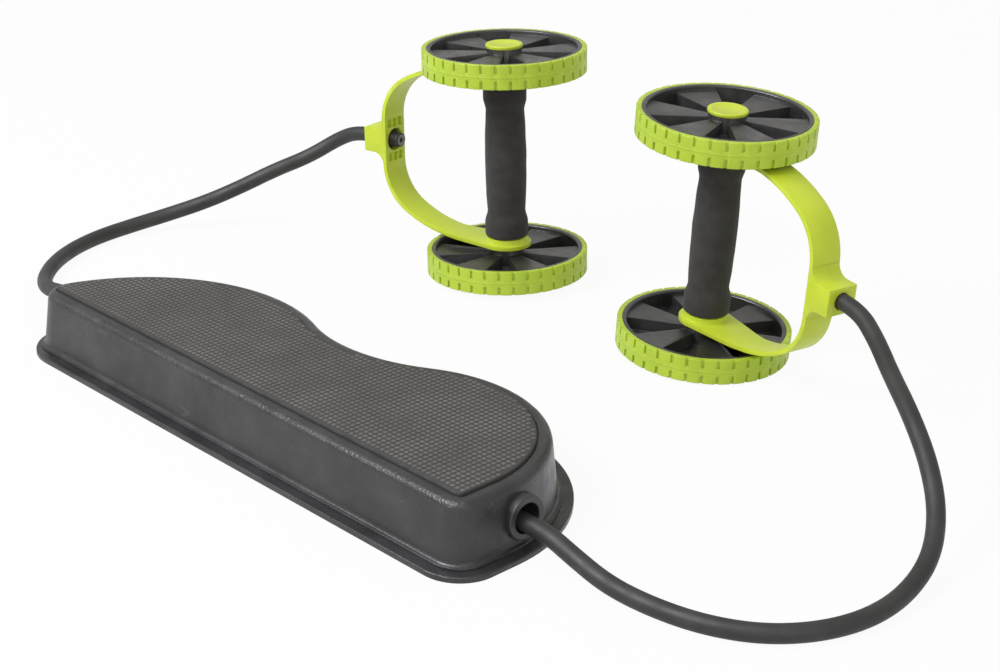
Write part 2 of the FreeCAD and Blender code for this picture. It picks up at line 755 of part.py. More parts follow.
def tyre():
    """A band with a row of notches along each edge, with the inner edge at zero height."""
    body = new_body("tyre")
    edge = "(tyre_radius - tyre_round)"
    turned(body, "band", profile(body, "band_line", "XZ_Plane", [[
        (RIM_RADIUS, "0"),
        (edge, "0", "tyre_round", "left"),
        ("tyre_radius", "tyre_round"),
        ("tyre_radius", "wheel_width - tyre_round", "tyre_round", "left"),
        (edge, "wheel_width"),
        (RIM_RADIUS, "wheel_width"),
    ]]), "V_Axis")
    half = "(notch_width / 2)"
    inner_row = ("0 - overrun", "notch_length")
    outer_row = ("wheel_width - notch_length", "wheel_width + overrun")
    rows = []
    for low, high in (inner_row, outer_row):
        rows.append([(f"0 - {half}", low), (half, low), (half, high), (f"0 - {half}", high)])
    notch = body.newObject("PartDesign::Pocket", "notch")
    notch.Profile = profile(body, "notch_line", "YZ_Plane", rows, "tyre_radius")
    bind(notch, Length="notch_depth")
    polar(body, "notches", notch, "notch_count")
    return body


def wheel_cap():
    """A dished button over the hub, with a spigot pressed into it."""
    body = new_body("wheel_cap")
    top = "(wheel_width + cap_proud)"
    inside = "(cap_radius - cap_rim)"
    turned(body, "cap", profile(body, "cap_line", "XZ_Plane", [[
        ("0", "wheel_width - cap_spigot"),
        (HUB_BORE, "wheel_width - cap_spigot"),
        (HUB_BORE, "wheel_width"),
        ("cap_radius", "wheel_width"),
        ("cap_radius", f"{top} - cap_round", "cap_round", "left"),
        ("cap_radius - cap_round", top),
        (inside, top),
        (f"{inside} - cap_round", f"{top} - cap_dish"),
        ("0", f"{top} - cap_dish"),
    ]]), "V_Axis")
    return body


def sleeve(name, inner, outer, low, high):
    """A plain ring about the axle between two heights."""
    body = new_body(name)
    turned(body, f"{name}_ring", profile(body, f"{name}_line", "XZ_Plane", [[
        (inner, low), (outer, low), (outer, high), (inner, high),
    ]]), "V_Axis")
    return body


def end_screw():
    """A pan-head screw in the end of the axle, with the washer under its head at AXLE_END."""
    body = new_body("end_screw")
    seat = f"({AXLE_END} + end_washer_thickness)"
    turned(body, "screw", profile(body, "screw_line", "XZ_Plane", [[
        ("0", f"{AXLE_END} - screw_length"),
        ("screw_radius", f"{AXLE_END} - screw_length"),
        ("screw_radius", seat),
        ("screw_head_radius", seat),
        ("screw_head_radius", f"{seat} + screw_head_height / 2"),
        ("screw_head_radius / 2", f"{seat} + screw_head_height"),
        ("0", f"{seat} + screw_head_height"),
    ]]), "V_Axis")
    return body


def roller_frame(side):
    """The middle of a roller's grip: X towards its yoke, Z along its axle."""
    sign = 1 if side == "right" else -1
    lean = math.radians(value("roller_lean"))
    height = value(WHEEL_OUT) * math.cos(lean) + value("tyre_radius") * math.sin(lean)
    middle = Vector(sign * value("roller_spacing") / 2, value("roller_back"), height)
    swing = -value("yoke_swing") if side == "right" else 180 + value("yoke_swing")
    tilt = Rotation(Vector(0, 1, 0), sign * value("roller_lean"))
    return Placement(middle, tilt.multiply(Rotation(Vector(0, 0, 1), swing)))


def rollers():
    single = {
        "axle": axle(),
        "grip_core": grip_core(),
        "foam_grip": foam_grip(),
        "yoke": yoke(),
        "tube_end": tube_end(),
        "tube_plug": tube_plug(),
    }
    moulding = wheel()
    on_wheel = {
        "tyre": tyre(),
        "cap": wheel_cap(),
        "bearing": sleeve("bearing", "axle_radius + running_clearance", "bearing_radius", "0", "hub_floor"),
    }
    in_pairs = {
        "thrust_washers": sleeve("thrust_washer", "axle_radius", "washer_radius", JOURNAL_END, WASHER_END),
        "end_washers": sleeve("end_washer", "screw_radius", "end_washer_radius", AXLE_END,
                              f"{AXLE_END} + end_washer_thickness"),
        "end_screws": end_screw(),
    }
    flip = Placement(Vector(), Rotation(Vector(1, 0, 0), 180))
    seat = Placement(Vector(0, 0, value(WHEEL_IN)), Rotation())
    for side in ("left", "right"):
        frame = roller_frame(side)
        for name, source in single.items():
            node(f"{side}_{name}", placed(f"{side}_{name}", source, frame))
        for end, turn in (("upper", Placement()), ("lower", flip)):
            on_axle = frame.multiply(turn).multiply(seat)
            spin = Placement(Vector(), Rotation(Vector(0, 0, 1), value(f"{end}_wheel_turn")))
            label = f"{side}_{end}_wheel"
            node(label, placed(label, moulding, on_axle.multiply(spin)))
            for name, source in on_wheel.items():
                label = f"{side}_{end}_{name}"
                node(label, placed(label, source, on_axle))
        for name, source in in_pairs.items():
            upper = placed(f"{side}_{name}_upper", source, frame)
            lower = placed(f"{side}_{name}_lower", source, frame.multiply(flip))
            pair = doc.addObject("Part::Compound", f"{side}_{name}")
            pair.Links = [upper, lower]
            node(f"{side}_{name}", pair)


def rounded_path(points):
    """Straight runs joined by tangent arcs, each as large as its two runs allow."""
    share = 0.45
    edges = []
    radii = []
    start = points[0]
    for before, corner, after in zip(points, points[1:], points[2:]):
        back = (before - corner).normalize()
        ahead = (after - corner).normalize()
        turn = math.pi - back.getAngle(ahead)
        trim = share * min((before - corner).Length, (after - corner).Length)
        radius = trim / math.tan(turn / 2)
        first = corner + back * trim
        last = corner + ahead * trim
        inward = (back + ahead).normalize()
        middle = corner + inward * (math.hypot(radius, trim) - radius)
        edges.append(Part.LineSegment(start, first).toShape())
        edges.append(Part.Arc(first, middle, last).toShape())
        radii.append(round(radius))
        start = last
    edges.append(Part.LineSegment(start, points[-1]).toShape())
    return Part.Wire(edges), radii


def free_tube(name, side, route_shares):
    """The tube between a platform bush and a yoke block, straight out of both."""
    sign = 1 if side == "right" else -1
    frame = roller_frame(side)
    lead = value("tube_lead")
    spread = value(f"{side}_tube_spread")
    exit_point = Vector(value(RIGHT_EXIT if side == "right" else LEFT_EXIT), value(TUBE_Y), value(TUBE_Z))
    block = frame.multVec(Vector(value("yoke_reach"), 0, 0))
    outwards = frame.Rotation.multVec(Vector(1, 0, 0))
    points = [exit_point, exit_point + Vector(sign * lead, 0, 0)]
    for i, shares in enumerate(route_shares, start=1):
        on_line = exit_point + (block - exit_point) * (i / (len(route_shares) + 1))
        points.append(on_line + Vector(*shares) * spread)
    points += [block + outwards * lead, block]
    path, radii = rounded_path(points)
    section = Part.Wire([Part.Circle(exit_point, Vector(sign, 0, 0), value("tube_radius")).toShape()])
    tube = doc.addObject("Part::Feature", name)
    tube.Shape = path.makePipeShell([section], True, False)
    ideal = math.pi * value("tube_radius") ** 2 * path.Length
    print(f"{name}: length {path.Length:.0f}, radii {radii}, volume share {tube.Shape.Volume / ideal:.4f}")
    print(f"{name} points:", [tuple(round(c, 1) for c in p) for p in points])
    node(name, tube)


platform_shell()
foot_pad()
tube_bushes()
rollers()
free_tube("left_tube", "left", LEFT_ROUTE_SHARES)
free_tube("right_tube", "right", RIGHT_ROUTE_SHARES)
doc.recompute()

for item in doc.Objects:
    if "Invalid" in item.State or "Error" in item.State:
        raise RuntimeError(f"{item.Label} failed: {item.State}")
for name, item in nodes.items():
    if item.Shape.isNull() or not item.Shape.isValid():
        raise RuntimeError(f"{name} has no valid shape")
os.makedirs("parts", exist_ok=True)
for name, item in nodes.items():
    item.Shape.exportStep(f"parts/{name}.step")
print(len(nodes), "pieces written")
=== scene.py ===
import json
import math

import bmesh
import bpy
from mathutils import Matrix, Vector, noise


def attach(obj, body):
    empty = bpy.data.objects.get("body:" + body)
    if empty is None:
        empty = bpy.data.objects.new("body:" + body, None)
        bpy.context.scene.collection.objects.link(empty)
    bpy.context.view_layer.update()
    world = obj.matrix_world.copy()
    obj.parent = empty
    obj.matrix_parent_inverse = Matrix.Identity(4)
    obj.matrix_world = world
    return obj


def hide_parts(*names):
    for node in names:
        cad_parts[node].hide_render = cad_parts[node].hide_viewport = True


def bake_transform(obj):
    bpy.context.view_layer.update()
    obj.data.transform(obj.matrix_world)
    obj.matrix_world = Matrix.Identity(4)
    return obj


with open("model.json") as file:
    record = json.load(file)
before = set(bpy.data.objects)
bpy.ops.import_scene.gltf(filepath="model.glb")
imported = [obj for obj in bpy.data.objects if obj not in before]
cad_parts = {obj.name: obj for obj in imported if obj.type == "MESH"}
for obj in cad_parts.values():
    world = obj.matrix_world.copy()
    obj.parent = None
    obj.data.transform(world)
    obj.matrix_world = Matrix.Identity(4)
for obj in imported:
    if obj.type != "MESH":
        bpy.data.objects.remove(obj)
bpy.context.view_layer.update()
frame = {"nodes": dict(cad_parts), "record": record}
NODES = frame["nodes"]
MM = 0.001
SIDES = ("left", "right")

# Camera, fitted to the wheel rims, the pad's outline and the floor line
CAMERA_PLACE = (0.899, -0.7142, 0.5555)
CAMERA_RIGHT = (0.69618, 0.71757, 0.02082)
CAMERA_UP = (-0.29874, 0.26323, 0.91731)
CAMERA_BACK = (0.65276, -0.64483, 0.39762)
LENS_MM = 72
SENSOR_MM = 36

# Resistance tube: the routes of its free stretches, from the platform to the yokes
TUBE_RADIUS = 5.5 * MM
RIGHT_ROUTE_MM = [
    (214.8, -13.5, 17.9), (230.8, -13.5, 17.9), (252, -14.7, 12.8), (278, -15, 6.7), (308.5, -12.8, 5.5),
    (339.5, -5.5, 5.5), (366, 10.5, 5.5), (384.5, 36, 5.5), (393, 67, 5.5), (391, 101, 6), (383, 133, 12),
    (368, 158, 25), (347, 177, 41), (320, 195, 56), (287, 219.5, 64), (262, 238.5, 72), (239.2, 250.5, 80.8),
    (223.4, 253.3, 81.6),
]
LEFT_ROUTE_MM = [
    (-210.2, -13.5, 17.9), (-226.2, -13.5, 17.9), (-251, -16, 14.5), (-276, -12.5, 9), (-301, 1, 5.5),
    (-323, 24, 5.5), (-339, 52, 5.5), (-348, 82, 5.5), (-348, 113, 7), (-339, 141, 12), (-323, 165, 21),
    (-306, 186, 33), (-289, 206, 46.5), (-276, 231.5, 56), (-258, 247.5, 72), (-239.2, 250.5, 80.8),
    (-223.4, 253.3, 81.6),
]
TUBE_SIDES = 28
TUBE_CURVE_STEPS = 10
HIDDEN_TUBE_STEPS = 60

# Foot pad: a straight front, a full right lobe, a waist and a flatter left lobe
PAD_FRONT = -51.5 * MM
PAD_RIGHT_END = 200 * MM
PAD_CORNER = 4 * MM
PAD_END_STRAIGHT = 20 * MM
RIGHT_LOBE = 88 * MM
LEFT_LOBE = 117 * MM
LEFT_LOBE_DEPTH = 96.5 * MM
WAIST_DEPTH = 80 * MM
WAIST_RADIUS = 121.5 * MM
PAD_FLOOR = 41 * MM
PAD_FACE = 43.45 * MM
PAD_EDGE_ROUND = 1.8 * MM
TAB_PITCH = 3.9 * MM
TAB_WIDTH = 3.75 * MM
TAB_HEIGHT = 0.5 * MM
TAB_MARGIN = 2.6 * MM
TAB_SEGMENTS = 8
TAB_RINGS = 5
CORNER_STEPS = 8
LOBE_STEPS = 70
WAIST_STEPS = 40
PAD_EDGE_STEPS = 4

# Heights at which the platform's finishes change, including where the painted shade down the pad's side and
# round the feet of its tabs fades out
GRAIN_FINE_BELOW = 27 * MM
GRAIN_COARSE_ABOVE = 38 * MM
PAD_SIDE_SHADE_BELOW = 42.95 * MM
PAD_SIDE_SHADE_ENDS_ABOVE = 43.42 * MM
TAB_SHADE_ENDS_ABOVE = 43.9 * MM

# Roller handles: where the middle of each grip is, and how it stands
ROLLER_SPACING = 201 * MM
ROLLER_BACK = 275 * MM
ROLLER_LEAN = math.radians(3)
YOKE_SWING = math.radians(10)
WHEEL_OUTER_FACE = 85 * MM
WHEEL_MIDDLE = 76.25 * MM
TYRE_RADIUS = 60 * MM
MOULD_LINE_CREST = 0.4 * MM
MOULD_LINE_FOOT = 0.8 * MM
MOULD_LINE_HEIGHT = 0.2 * MM

# Foam grips
GRIP_HALF = 58.3 * MM
GRIP_CORE = 11 * MM
GRIP_END = 16 * MM
GRIP_NECK = 14.1 * MM
GRIP_BARREL = 15.3 * MM
GRIP_LAND = 11 * MM
GRIP_NECK_INSET = 20 * MM
GRIP_END_ROUND = 2.2 * MM
GRIP_ROWS = 90
GRIP_SIDES = 120
FOAM_SKIN = 1 * MM
FOAM_LUMP = 11 * MM
FOAM_LUMP_DEPTH = 0.22 * MM
FOAM_PORE = 1.6 * MM
FOAM_PORE_DEPTH = 0.07 * MM

# Tube ends behind the yokes' blocks, measured out from the axle
BLOCK_FACE = 125 * MM
SEAT_FLOOR = 110.5 * MM
FLARE_END = 102 * MM
TUBE_TIP = 98.5 * MM
FLARE_RADIUS = 8.2 * MM
PLUG_HEAD = 4.2 * MM
PLUG_HEAD_DEPTH = 1.2 * MM
PLUG_RADIUS = 3.2 * MM
TIP_ROUND = 0.9 * MM
FLARE_STEPS = 12
TIP_STEPS = 6
TIP_SIDES = 48

# Edges of the moulded pieces, and the angles at which a mesh's shading breaks
EDGE_WIDTH = {"yoke": 0.7 * MM, "wheel": 0.45 * MM, "tyre": 0.45 * MM, "cap": 0.2 * MM}
EDGE_SEGMENTS = 2
EDGE_ANGLE = math.radians(32)
FLAT_ANGLE = math.radians(0.5)
MERGE_DISTANCE = 0.002 * MM
MOULDING_CREASE = math.radians(35)
TURNED_CREASE = math.radians(40)
TUBE_CREASE = math.radians(50)
PAD_CREASE = math.radians(60)

# Studio: places in metres, power in watts
LAMP_AIM = (0, 0.1, 0.05)
SOFTBOX = {"place": (-0.7, -1.5, 1.7), "size": (1.3, 0.9), "power": 44, "colour": (0.955, 0.97, 1)}
SIDE_PANEL = {"place": (1.9, -0.5, 1.0), "size": (1.2, 1.2), "power": 5, "colour": (1, 0.99, 0.97)}
SHEEN_PANEL = {"place": (-0.2, -1.3, 2.2), "size": (2.4, 1.8), "power": 55, "colour": (0.97, 0.98, 1)}
ROOM_TINT = (1, 0.985, 0.965)
ROOM_LIGHT = 0.66
ROOM_WHITE = 1.0
FLOOR_HALF = 6
FLOOR_PAINT = (0.72, 0.72, 0.72)
FLOOR_GLOW_SHARE = 0.94


def add_camera():
    data = bpy.data.cameras.new("camera")
    data.lens = LENS_MM
    data.sensor_width = SENSOR_MM
    data.sensor_fit = "HORIZONTAL"
    camera = bpy.data.objects.new("camera", data)
    turn = Matrix((CAMERA_RIGHT, CAMERA_UP, CAMERA_BACK)).transposed()
    camera.matrix_world = Matrix.Translation(CAMERA_PLACE) @ turn.to_4x4()
    bpy.context.collection.objects.link(camera)
    bpy.context.scene.camera = camera


def new_piece(name, mesh):
    piece = bpy.data.objects.new(name, mesh)
    bpy.context.collection.objects.link(piece)
    return piece


def evaluated_mesh(piece):
    """The piece's mesh with its modifiers or curve worked out."""
    bpy.context.view_layer.update()
    depsgraph = bpy.context.evaluated_depsgraph_get()
    return bpy.data.meshes.new_from_object(piece.evaluated_get(depsgraph), depsgraph=depsgraph)


def mesh_from(build, name, crease=None):
    """A smooth mesh filled in by a function that takes a bmesh, with edges sharp past a crease angle."""
    shape = bmesh.new()
    build(shape)
    mesh = bpy.data.meshes.new(name)
    shape.to_mesh(mesh)
    shape.free()
    mesh.shade_smooth()
    if crease is not None:
        mesh.set_sharp_from_angle(angle=crease)
    return mesh


def smooth_line(name, points):
    """Points along the NURBS curve that has a tube's route as its control points."""
    curve = bpy.data.curves.new(name, "CURVE")
    curve.dimensions = "3D"
    spline = curve.splines.new("NURBS")
    spline.points.add(len(points) - 1)
    for control, point in zip(spline.points, points):
        control.co = (*point, 1)
    spline.order_u = 3
    spline.use_endpoint_u = True
    spline.resolution_u = TUBE_CURVE_STEPS
    line = new_piece(name, curve)
    mesh = evaluated_mesh(line)
    path = [v.co.copy() for v in mesh.vertices]
    bpy.data.objects.remove(line)
    bpy.data.curves.remove(curve)
    bpy.data.meshes.remove(mesh)
    return path


def tube_along(name, path):
    """A closed round tube along a path, with its length along V and its turn along U."""
    def build(shape):
        uv = shape.loops.layers.uv.new("UVMap")
        across = (path[1] - path[0]).orthogonal().normalized()
        rings = []
        travelled = [0.0]
        for i, point in enumerate(path):
            ahead = path[min(i + 1, len(path) - 1)]
            behind = path[max(i - 1, 0)]
            along = (ahead - behind).normalized()
            across = (across - along * across.dot(along)).normalized()
            other = along.cross(across)
            ring = []
            for k in range(TUBE_SIDES):
                turn = 2 * math.pi * k / TUBE_SIDES
                outwards = across * math.cos(turn) + other * math.sin(turn)
                ring.append(shape.verts.new(point + outwards * TUBE_RADIUS))
            rings.append(ring)
            if i:
                travelled.append(travelled[-1] + (point - behind).length)
        for i, (lower, upper) in enumerate(zip(rings, rings[1:])):
            for k in range(TUBE_SIDES):
                n = (k + 1) % TUBE_SIDES
                face = shape.faces.new((lower[k], lower[n], upper[n], upper[k]))
                corners = ((k, i), (k + 1, i), (k + 1, i + 1), (k, i + 1))
                for loop, (u, v) in zip(face.loops, corners):
                    loop[uv].uv = (u / TUBE_SIDES, travelled[v])
        shape.faces.new(reversed(rings[0]))
        shape.faces.new(rings[-1])
    return mesh_from(build, name, TUBE_CREASE)


def tubes():
    for side, route in (("left", LEFT_ROUTE_MM), ("right", RIGHT_ROUTE_MM)):
        path = smooth_line(f"{side}_tube_line", [Vector(p) * MM for p in route])
        tube = new_piece(f"{side}_free_tube", tube_along(f"{side}_free_tube", path))
        tube.data.materials.append(FINISHES["tube"])
        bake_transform(tube)
        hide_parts(f"{side}_tube")


class Finish:
    """A procedural material: a Principled shader with short ways to add what feeds it."""

    def __init__(self, name, **sockets):
        self.material = bpy.data.materials.new(name)
        self.material.use_nodes = True
        self.nodes = self.material.node_tree.nodes
        self.links = self.material.node_tree.links
        self.shader = self.nodes["Principled BSDF"]
        for socket, setting in sockets.items():
            self.shader.inputs[socket.replace("_", " ")].default_value = setting
        self.coordinates = self.nodes.new("ShaderNodeTexCoord")

    def feed(self, socket, term):
        """Give a socket a number, a colour or another node's output."""
        if isinstance(term, (int, float)):
            socket.default_value = term
        elif isinstance(term, tuple):
            socket.default_value = (*term, 1)
        else:
            self.links.new(term, socket)

    def place(self, scale=(1, 1, 1)):
        mapping = self.nodes.new("ShaderNodeMapping")
        mapping.inputs["Scale"].default_value = scale
        self.links.new(self.coordinates.outputs["Object"], mapping.inputs["Vector"])
        return mapping.outputs["Vector"]

    def height(self):
        """How high a point is, in metres."""
        split = self.nodes.new("ShaderNodeSeparateXYZ")
        self.links.new(self.coordinates.outputs["Object"], split.inputs["Vector"])
        return split.outputs["Z"]

    def attribute(self, name):
        """A number that the mesh carries at each of its corners."""
        node = self.nodes.new("ShaderNodeAttribute")
        node.attribute_name = name
        return node.outputs["Fac"]

    def noise(self, size, detail, stretch=(1, 1, 1), distortion=0):
        """Noise whose features are about one size across, in metres, before any stretch."""
        texture = self.nodes.new("ShaderNodeTexNoise")
        texture.inputs["Scale"].default_value = 1 / size
        texture.inputs["Detail"].default_value = detail
        texture.inputs["Distortion"].default_value = distortion
        self.links.new(self.place(stretch), texture.inputs["Vector"])
        return texture.outputs["Fac"]

    def cells(self, size):
        """Round cells about one size across, in metres."""
        texture = self.nodes.new("ShaderNodeTexVoronoi")
        texture.inputs["Scale"].default_value = 1 / size
        self.links.new(self.place(), texture.inputs["Vector"])
        return texture.outputs["Distance"]

    def ramp(self, value, *stops):
        """A colour ramp: each stop is a place from 0 to 1 and a grey level or colour."""
        ramp = self.nodes.new("ShaderNodeValToRGB")
        for element, (place, colour) in zip(ramp.color_ramp.elements, stops):
            element.position = place
            grey = isinstance(colour, (int, float))
            element.color = (colour, colour, colour, 1) if grey else (*colour, 1)
        self.links.new(value, ramp.inputs["Fac"])
        return ramp.outputs["Color"]

    def between(self, value, low, high):
        """0 where a value is at its low end, 1 at its high end."""
        span = self.nodes.new("ShaderNodeMapRange")
        span.inputs["From Min"].default_value = low
        span.inputs["From Max"].default_value = high
        self.links.new(value, span.inputs["Value"])
        return span.outputs["Result"]

    def arithmetic(self, kind, first, second=0):
        node = self.nodes.new("ShaderNodeMath")
        node.operation = kind
        self.feed(node.inputs[0], first)
        self.feed(node.inputs[1], second)
        return node.outputs["Value"]

    def mix(self, amount, first, second):
        """From the first colour, where the amount is 0, to the second, where it is 1."""
        node = self.nodes.new("ShaderNodeMix")
        node.data_type = "RGBA"
        self.feed(node.inputs["Factor"], amount)
        self.feed(node.inputs[6], first)
        self.feed(node.inputs[7], second)
        return node.outputs[2]

    def shades(self, dark, light, size, detail):
        """Soft patches between two shades of the same colour."""
        return self.ramp(self.noise(size, detail), (0.35, dark), (0.65, light))

    def marks(self, base, colour, share, pattern, levels):
        """Marks of another colour over a base, coming in where a pattern passes its levels."""
        low, high = levels
        strength = self.ramp(pattern, (low, 0), (high, 1))
        return self.mix(self.arithmetic("MULTIPLY", strength, share), base, colour)

    def colour(self, output):
        self.links.new(output, self.shader.inputs["Base Color"])

    def roughness(self, smooth, rough, size, detail):
        """Roughness that wanders between two levels."""
        level = self.ramp(self.noise(size, detail), (0.3, smooth), (0.7, rough))
        self.links.new(level, self.shader.inputs["Roughness"])

    def bump(self, height, depth, strength):
        """Relief of a depth in metres, laid over any relief that is there already."""
        node = self.nodes.new("ShaderNodeBump")
        node.inputs["Strength"].default_value = strength
        node.inputs["Distance"].default_value = depth
        self.links.new(height, node.inputs["Height"])
        normal = self.shader.inputs["Normal"]
        if normal.is_linked:
            self.links.new(normal.links[0].from_socket, node.inputs["Normal"])
        self.links.new(node.outputs["Normal"], normal)

    def grain(self, size, detail, depth, strength):
        """Fine uneven relief."""
        self.bump(self.noise(size, detail), depth, strength)


def shell_plastic():
    """Charcoal moulding: leathery grain that is coarsest round the top edge, scuffs and fine scratches."""
    finish = Finish("shell_plastic", Specular_IOR_Level=0.5)
    base = finish.shades(dark=(0.02, 0.0195, 0.0215), light=(0.037, 0.0363, 0.039), size=32 * MM, detail=5)
    scuffs = finish.noise(7 * MM, detail=6, stretch=(0.25, 1, 1), distortion=1.5)
    scuffed = finish.marks(base, (0.12, 0.12, 0.125), share=0.22, pattern=scuffs, levels=(0.66, 0.74))
    scratches = finish.noise(1.3 * MM, detail=3, stretch=(0.06, 1, 1))
    scratched = finish.marks(scuffed, (0.13, 0.13, 0.135), share=0.3, pattern=scratches, levels=(0.7, 0.76))
    finish.colour(scratched)
    finish.roughness(smooth=0.24, rough=0.44, size=12 * MM, detail=4)
    high = finish.between(finish.height(), GRAIN_FINE_BELOW, GRAIN_COARSE_ABOVE)
    pebbles = finish.arithmetic("MULTIPLY", finish.cells(1.4 * MM), finish.arithmetic("ADD", high, 0.35))
    finish.bump(pebbles, depth=0.15 * MM, strength=0.9)
    finish.grain(size=0.9 * MM, detail=4, depth=0.12 * MM, strength=0.8)
    return finish.material


def pad_rubber():
    """Warm grey rubber in uneven patches, with painted shade down its side and between the tabs, so the tab
    tops stand paler.
    """
    finish = Finish("pad_rubber", Specular_IOR_Level=0.35)
    worn = finish.shades(dark=(0.1, 0.093, 0.087), light=(0.142, 0.133, 0.125), size=30 * MM, detail=5)
    # Painted shade between the tabs: each tab darkens towards its foot, and the face between them is dark.
    tab_shade_mask = finish.between(finish.height(), PAD_FACE, TAB_SHADE_ENDS_ABOVE)
    face = finish.mix(tab_shade_mask, (0.052, 0.049, 0.046), worn)
    # Painted shade down the pad's side: below its face the rubber is painted near black.
    side_shade_mask = finish.between(finish.height(), PAD_SIDE_SHADE_BELOW, PAD_SIDE_SHADE_ENDS_ABOVE)
    finish.colour(finish.mix(side_shade_mask, (0.022, 0.021, 0.0205), face))
    finish.roughness(smooth=0.62, rough=0.82, size=6 * MM, detail=4)
    finish.grain(size=0.35 * MM, detail=3, depth=0.04 * MM, strength=0.6)
    return finish.material


def tube_rubber():
    """Dull black rubber with a soft bloom and pale specks."""
    finish = Finish("tube_rubber", Specular_IOR_Level=0.38)
    bloom = finish.shades(dark=(0.024, 0.0235, 0.023), light=(0.038, 0.037, 0.0365), size=22 * MM, detail=5)
    specks = finish.noise(1.1 * MM, detail=3)
    finish.colour(finish.marks(bloom, (0.16, 0.155, 0.15), share=0.25, pattern=specks, levels=(0.7, 0.76)))
    finish.roughness(smooth=0.46, rough=0.62, size=9 * MM, detail=5)
    finish.grain(size=0.5 * MM, detail=3, depth=0.03 * MM, strength=0.6)
    return finish.material


def grip_foam():
    """Closed-cell foam: fine pores, an uneven skin and a few specks of dust."""
    finish = Finish("grip_foam", Roughness=0.92, Specular_IOR_Level=0.25, Sheen_Weight=0.12,
                    Sheen_Roughness=0.5)
    base = finish.shades(dark=(0.036, 0.0335, 0.032), light=(0.046, 0.0432, 0.0415), size=9 * MM, detail=5)
    dust = finish.noise(0.7 * MM, detail=2)
    finish.colour(finish.marks(base, (0.1, 0.098, 0.095), share=0.35, pattern=dust, levels=(0.68, 0.75)))
    finish.bump(finish.cells(0.55 * MM), depth=0.09 * MM, strength=0.8)
    finish.grain(size=2.2 * MM, detail=4, depth=0.12 * MM, strength=0.6)
    return finish.material


def wheel_plastic():
    """Near-black moulding with a fine grain and pale rub marks."""
    finish = Finish("wheel_plastic", Specular_IOR_Level=0.75)
    base = finish.shades(dark=(0.021, 0.0205, 0.02), light=(0.03, 0.0292, 0.0285), size=14 * MM, detail=4)
    rubs = finish.noise(3 * MM, detail=5, distortion=1.0)
    finish.colour(finish.marks(base, (0.14, 0.138, 0.135), share=0.12, pattern=rubs, levels=(0.7, 0.78)))
    finish.roughness(smooth=0.25, rough=0.4, size=8 * MM, detail=4)
    finish.grain(size=0.4 * MM, detail=3, depth=0.035 * MM, strength=0.6)
    return finish.material


def lime_rubber():
    """Lime tyre rubber, a little deeper in patches, with some grime and a mould line round it."""
    finish = Finish("lime_rubber", Specular_IOR_Level=0.45)
    base = finish.shades(dark=(0.4, 0.545, 0.031), light=(0.455, 0.605, 0.043), size=18 * MM, detail=4)
    grime = finish.noise(5 * MM, detail=6)
    finish.colour(finish.marks(base, (0.3, 0.42, 0.06), share=0.14, pattern=grime, levels=(0.64, 0.78)))
    finish.roughness(smooth=0.38, rough=0.56, size=7 * MM, detail=5)
    from_middle = finish.arithmetic("ABSOLUTE", finish.attribute("from_middle"))
    mould_line = finish.between(from_middle, MOULD_LINE_FOOT, MOULD_LINE_CREST)
    finish.bump(mould_line, depth=MOULD_LINE_HEIGHT, strength=0.8)
    finish.grain(size=0.45 * MM, detail=3, depth=0.03 * MM, strength=0.5)
    return finish.material


def lime_plastic():
    """Yellow-green moulding that lets a little light into its thin walls."""
    finish = Finish("lime_plastic", Specular_IOR_Level=0.45, Subsurface_Weight=0.4,
                    Subsurface_Radius=(0.008, 0.009, 0.0015))
    base = finish.shades(dark=(0.53, 0.635, 0.03), light=(0.59, 0.7, 0.045), size=35 * MM, detail=3)
    haze = finish.noise(2.5 * MM, detail=6)
    finish.colour(finish.marks(base, (0.55, 0.68, 0.11), share=0.12, pattern=haze, levels=(0.6, 0.8)))
    finish.roughness(smooth=0.33, rough=0.48, size=10 * MM, detail=4)
    finish.grain(size=0.6 * MM, detail=3, depth=0.02 * MM, strength=0.5)
    return finish.material


def plain_finish(name, colour, roughness, metallic=0):
    """A small part's finish: fine grain and slight patches."""
    finish = Finish(name, Metallic=metallic)
    dark = tuple(0.86 * c for c in colour)
    light = tuple(1.12 * c for c in colour)
    finish.colour(finish.shades(dark, light, size=6 * MM, detail=4))
    finish.roughness(smooth=roughness - 0.06, rough=roughness + 0.08, size=3 * MM, detail=4)
    finish.grain(size=0.4 * MM, detail=3, depth=0.02 * MM, strength=0.5)
    return finish.material


FINISHES = {
    "shell": shell_plastic(),
    "pad": pad_rubber(),
    "tube": tube_rubber(),
    "foam": grip_foam(),
    "wheel": wheel_plastic(),
    "tyre": lime_rubber(),
    "yoke": lime_plastic(),
    "cap": lime_plastic(),
    "bush": plain_finish("bush_plastic", (0.036, 0.0355, 0.036), 0.38),
    "core": plain_finish("core_plastic", (0.03, 0.03, 0.03), 0.45),
    # Pale grey plug: partly the plug's own colour, partly a painted highlight for the bright ring at the
    # tube's tip.
    "plug": plain_finish("plug_plastic_and_tip_highlight", (0.15, 0.15, 0.148), 0.36),
    "washer": plain_finish("nylon", (0.62, 0.61, 0.58), 0.45),
    "steel": plain_finish("zinc_steel", (0.56, 0.56, 0.55), 0.32, metallic=1),
}


def roller_frame(side):
    """The middle of a roller's grip: X towards its yoke, Z along its axle."""
    sign = 1 if side == "right" else -1
    height = WHEEL_OUTER_FACE * math.cos(ROLLER_LEAN) + TYRE_RADIUS * math.sin(ROLLER_LEAN)
    middle = Vector((sign * ROLLER_SPACING / 2, ROLLER_BACK, height))
    swing = -YOKE_SWING if side == "right" else math.pi + YOKE_SWING
    lean = Matrix.Rotation(sign * ROLLER_LEAN, 4, "Y")
    return Matrix.Translation(middle) @ lean @ Matrix.Rotation(swing, 4, "Z")


def ease(share):
    """A share from 0 to 1 that starts and stops gently."""
    return share * share * (3 - 2 * share)


